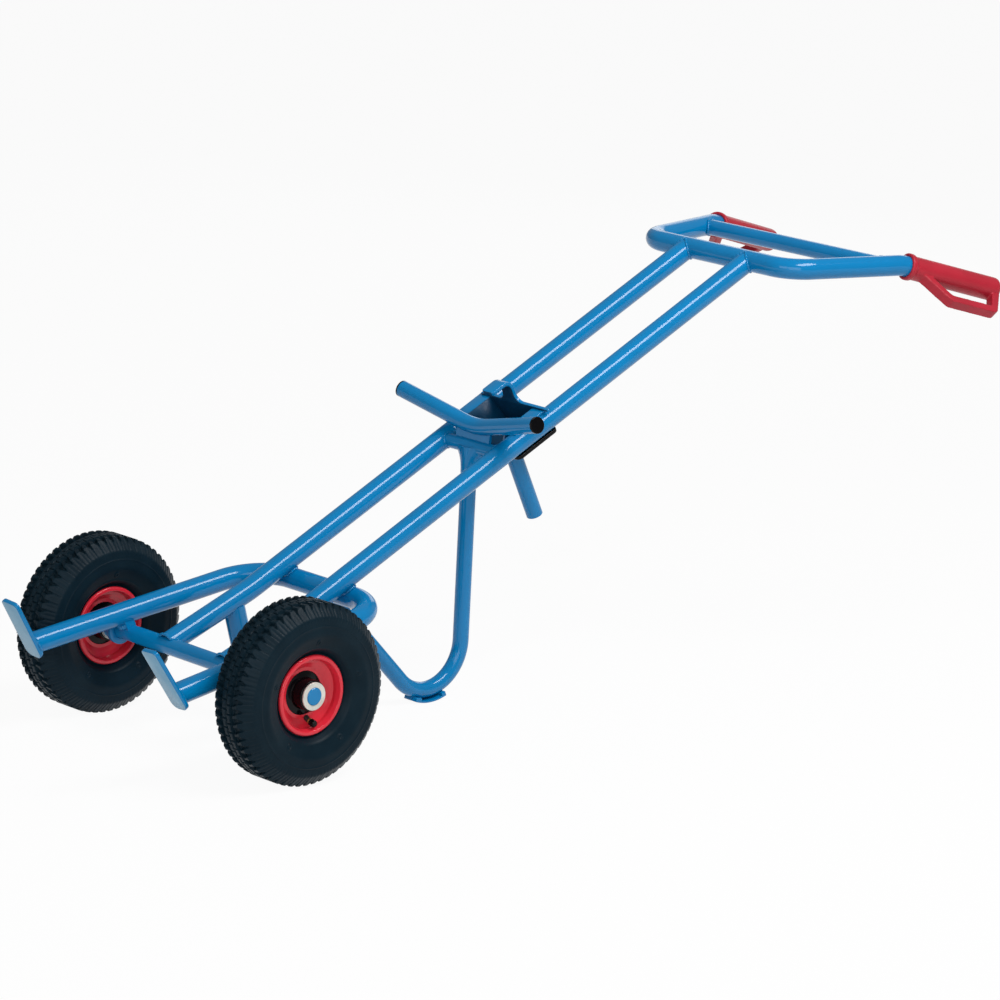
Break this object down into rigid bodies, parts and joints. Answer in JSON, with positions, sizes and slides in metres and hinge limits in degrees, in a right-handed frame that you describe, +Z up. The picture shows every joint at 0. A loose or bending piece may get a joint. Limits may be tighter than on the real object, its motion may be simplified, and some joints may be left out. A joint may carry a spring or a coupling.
{
  "type": "drum trolley",
  "caption": "Two-wheeled drum trolley parked on its stand: tube frame, forked toe, V cradle bar, sliding drum hook on twin rails, splayed handle with guarded grips.",
  "frame": {"origin": "on the floor, under the middle of the box, in the parked pose", "axes": "+X towards the handle, +Y to the user's right when pushing towards the toe, +Z up"},
  "size_m": [1.585, 0.57, 0.6417],
  "materials": {
    "blue_paint": "gloss powder coat",
    "red_paint": "gloss paint",
    "red_plastic": "satin moulded",
    "black_plastic": "satin moulded",
    "bush_plastic": "turned",
    "zinc": "zinc plated",
    "tyre_rubber": "moulded tread",
    "tube_rubber": "butyl",
    "valve_rubber": "moulded"
  },
  "bodies": {
    "frame": {"rail_left": "blue_paint", "rail_right": "blue_paint", "fork_tube": "blue_paint", "toe_plate_left": "blue_paint", "toe_plate_right": "blue_paint", "axle": "blue_paint", "axle_collar_left": "blue_paint", "axle_collar_right": "blue_paint", "axle_spacer_left": "blue_paint", "axle_spacer_right": "blue_paint", "inner_washer_left": "zinc", "inner_washer_right": "zinc", "lock_ring_left": "zinc", "lock_ring_right": "zinc", "stand_tube": "blue_paint", "stand_shoe": "blue_paint", "step_bar": "blue_paint", "mid_tube": "blue_paint", "cradle_bar": "blue_paint", "cradle_gusset": "blue_paint", "cradle_plug_left": "black_plastic", "cradle_plug_right": "black_plastic", "handle_loop": "blue_paint", "handle_brace": "blue_paint", "grip_left": "red_plastic", "grip_right": "red_plastic"},
    "wheel_left": {"tyre_left": "tyre_rubber", "air_tube_left": "tube_rubber", "rim_outer_left": "red_paint", "rim_inner_left": "red_paint", "hub_left": "black_plastic", "hub_bush_left": "bush_plastic", "valve_stem_left": "valve_rubber", "valve_cap_left": "black_plastic"},
    "wheel_right": {"tyre_right": "tyre_rubber", "air_tube_right": "tube_rubber", "rim_outer_right": "red_paint", "rim_inner_right": "red_paint", "hub_right": "black_plastic", "hub_bush_right": "bush_plastic", "valve_stem_right": "valve_rubber", "valve_cap_right": "black_plastic"},
    "carriage": {"saddle": "blue_paint", "hook": "blue_paint", "back_plate": "black_plastic", "lever": "blue_paint"}
  },
  "joints": [
    {"name": "wheel_left_spin", "type": "hinge", "parent": "frame", "child": "wheel_left", "pos_m": [-0.57655, -0.225, 0.13], "axis": [0, 1, 0], "continuous": true},
    {"name": "wheel_right_spin", "type": "hinge", "parent": "frame", "child": "wheel_right", "pos_m": [-0.57655, 0.225, 0.13], "axis": [0, 1, 0], "continuous": true},
    {"name": "hook_slide", "type": "slide", "parent": "frame", "child": "carriage", "axis": [0.8926, 0, 0.4509], "range_m": [0, 0.42]}
  ]
}
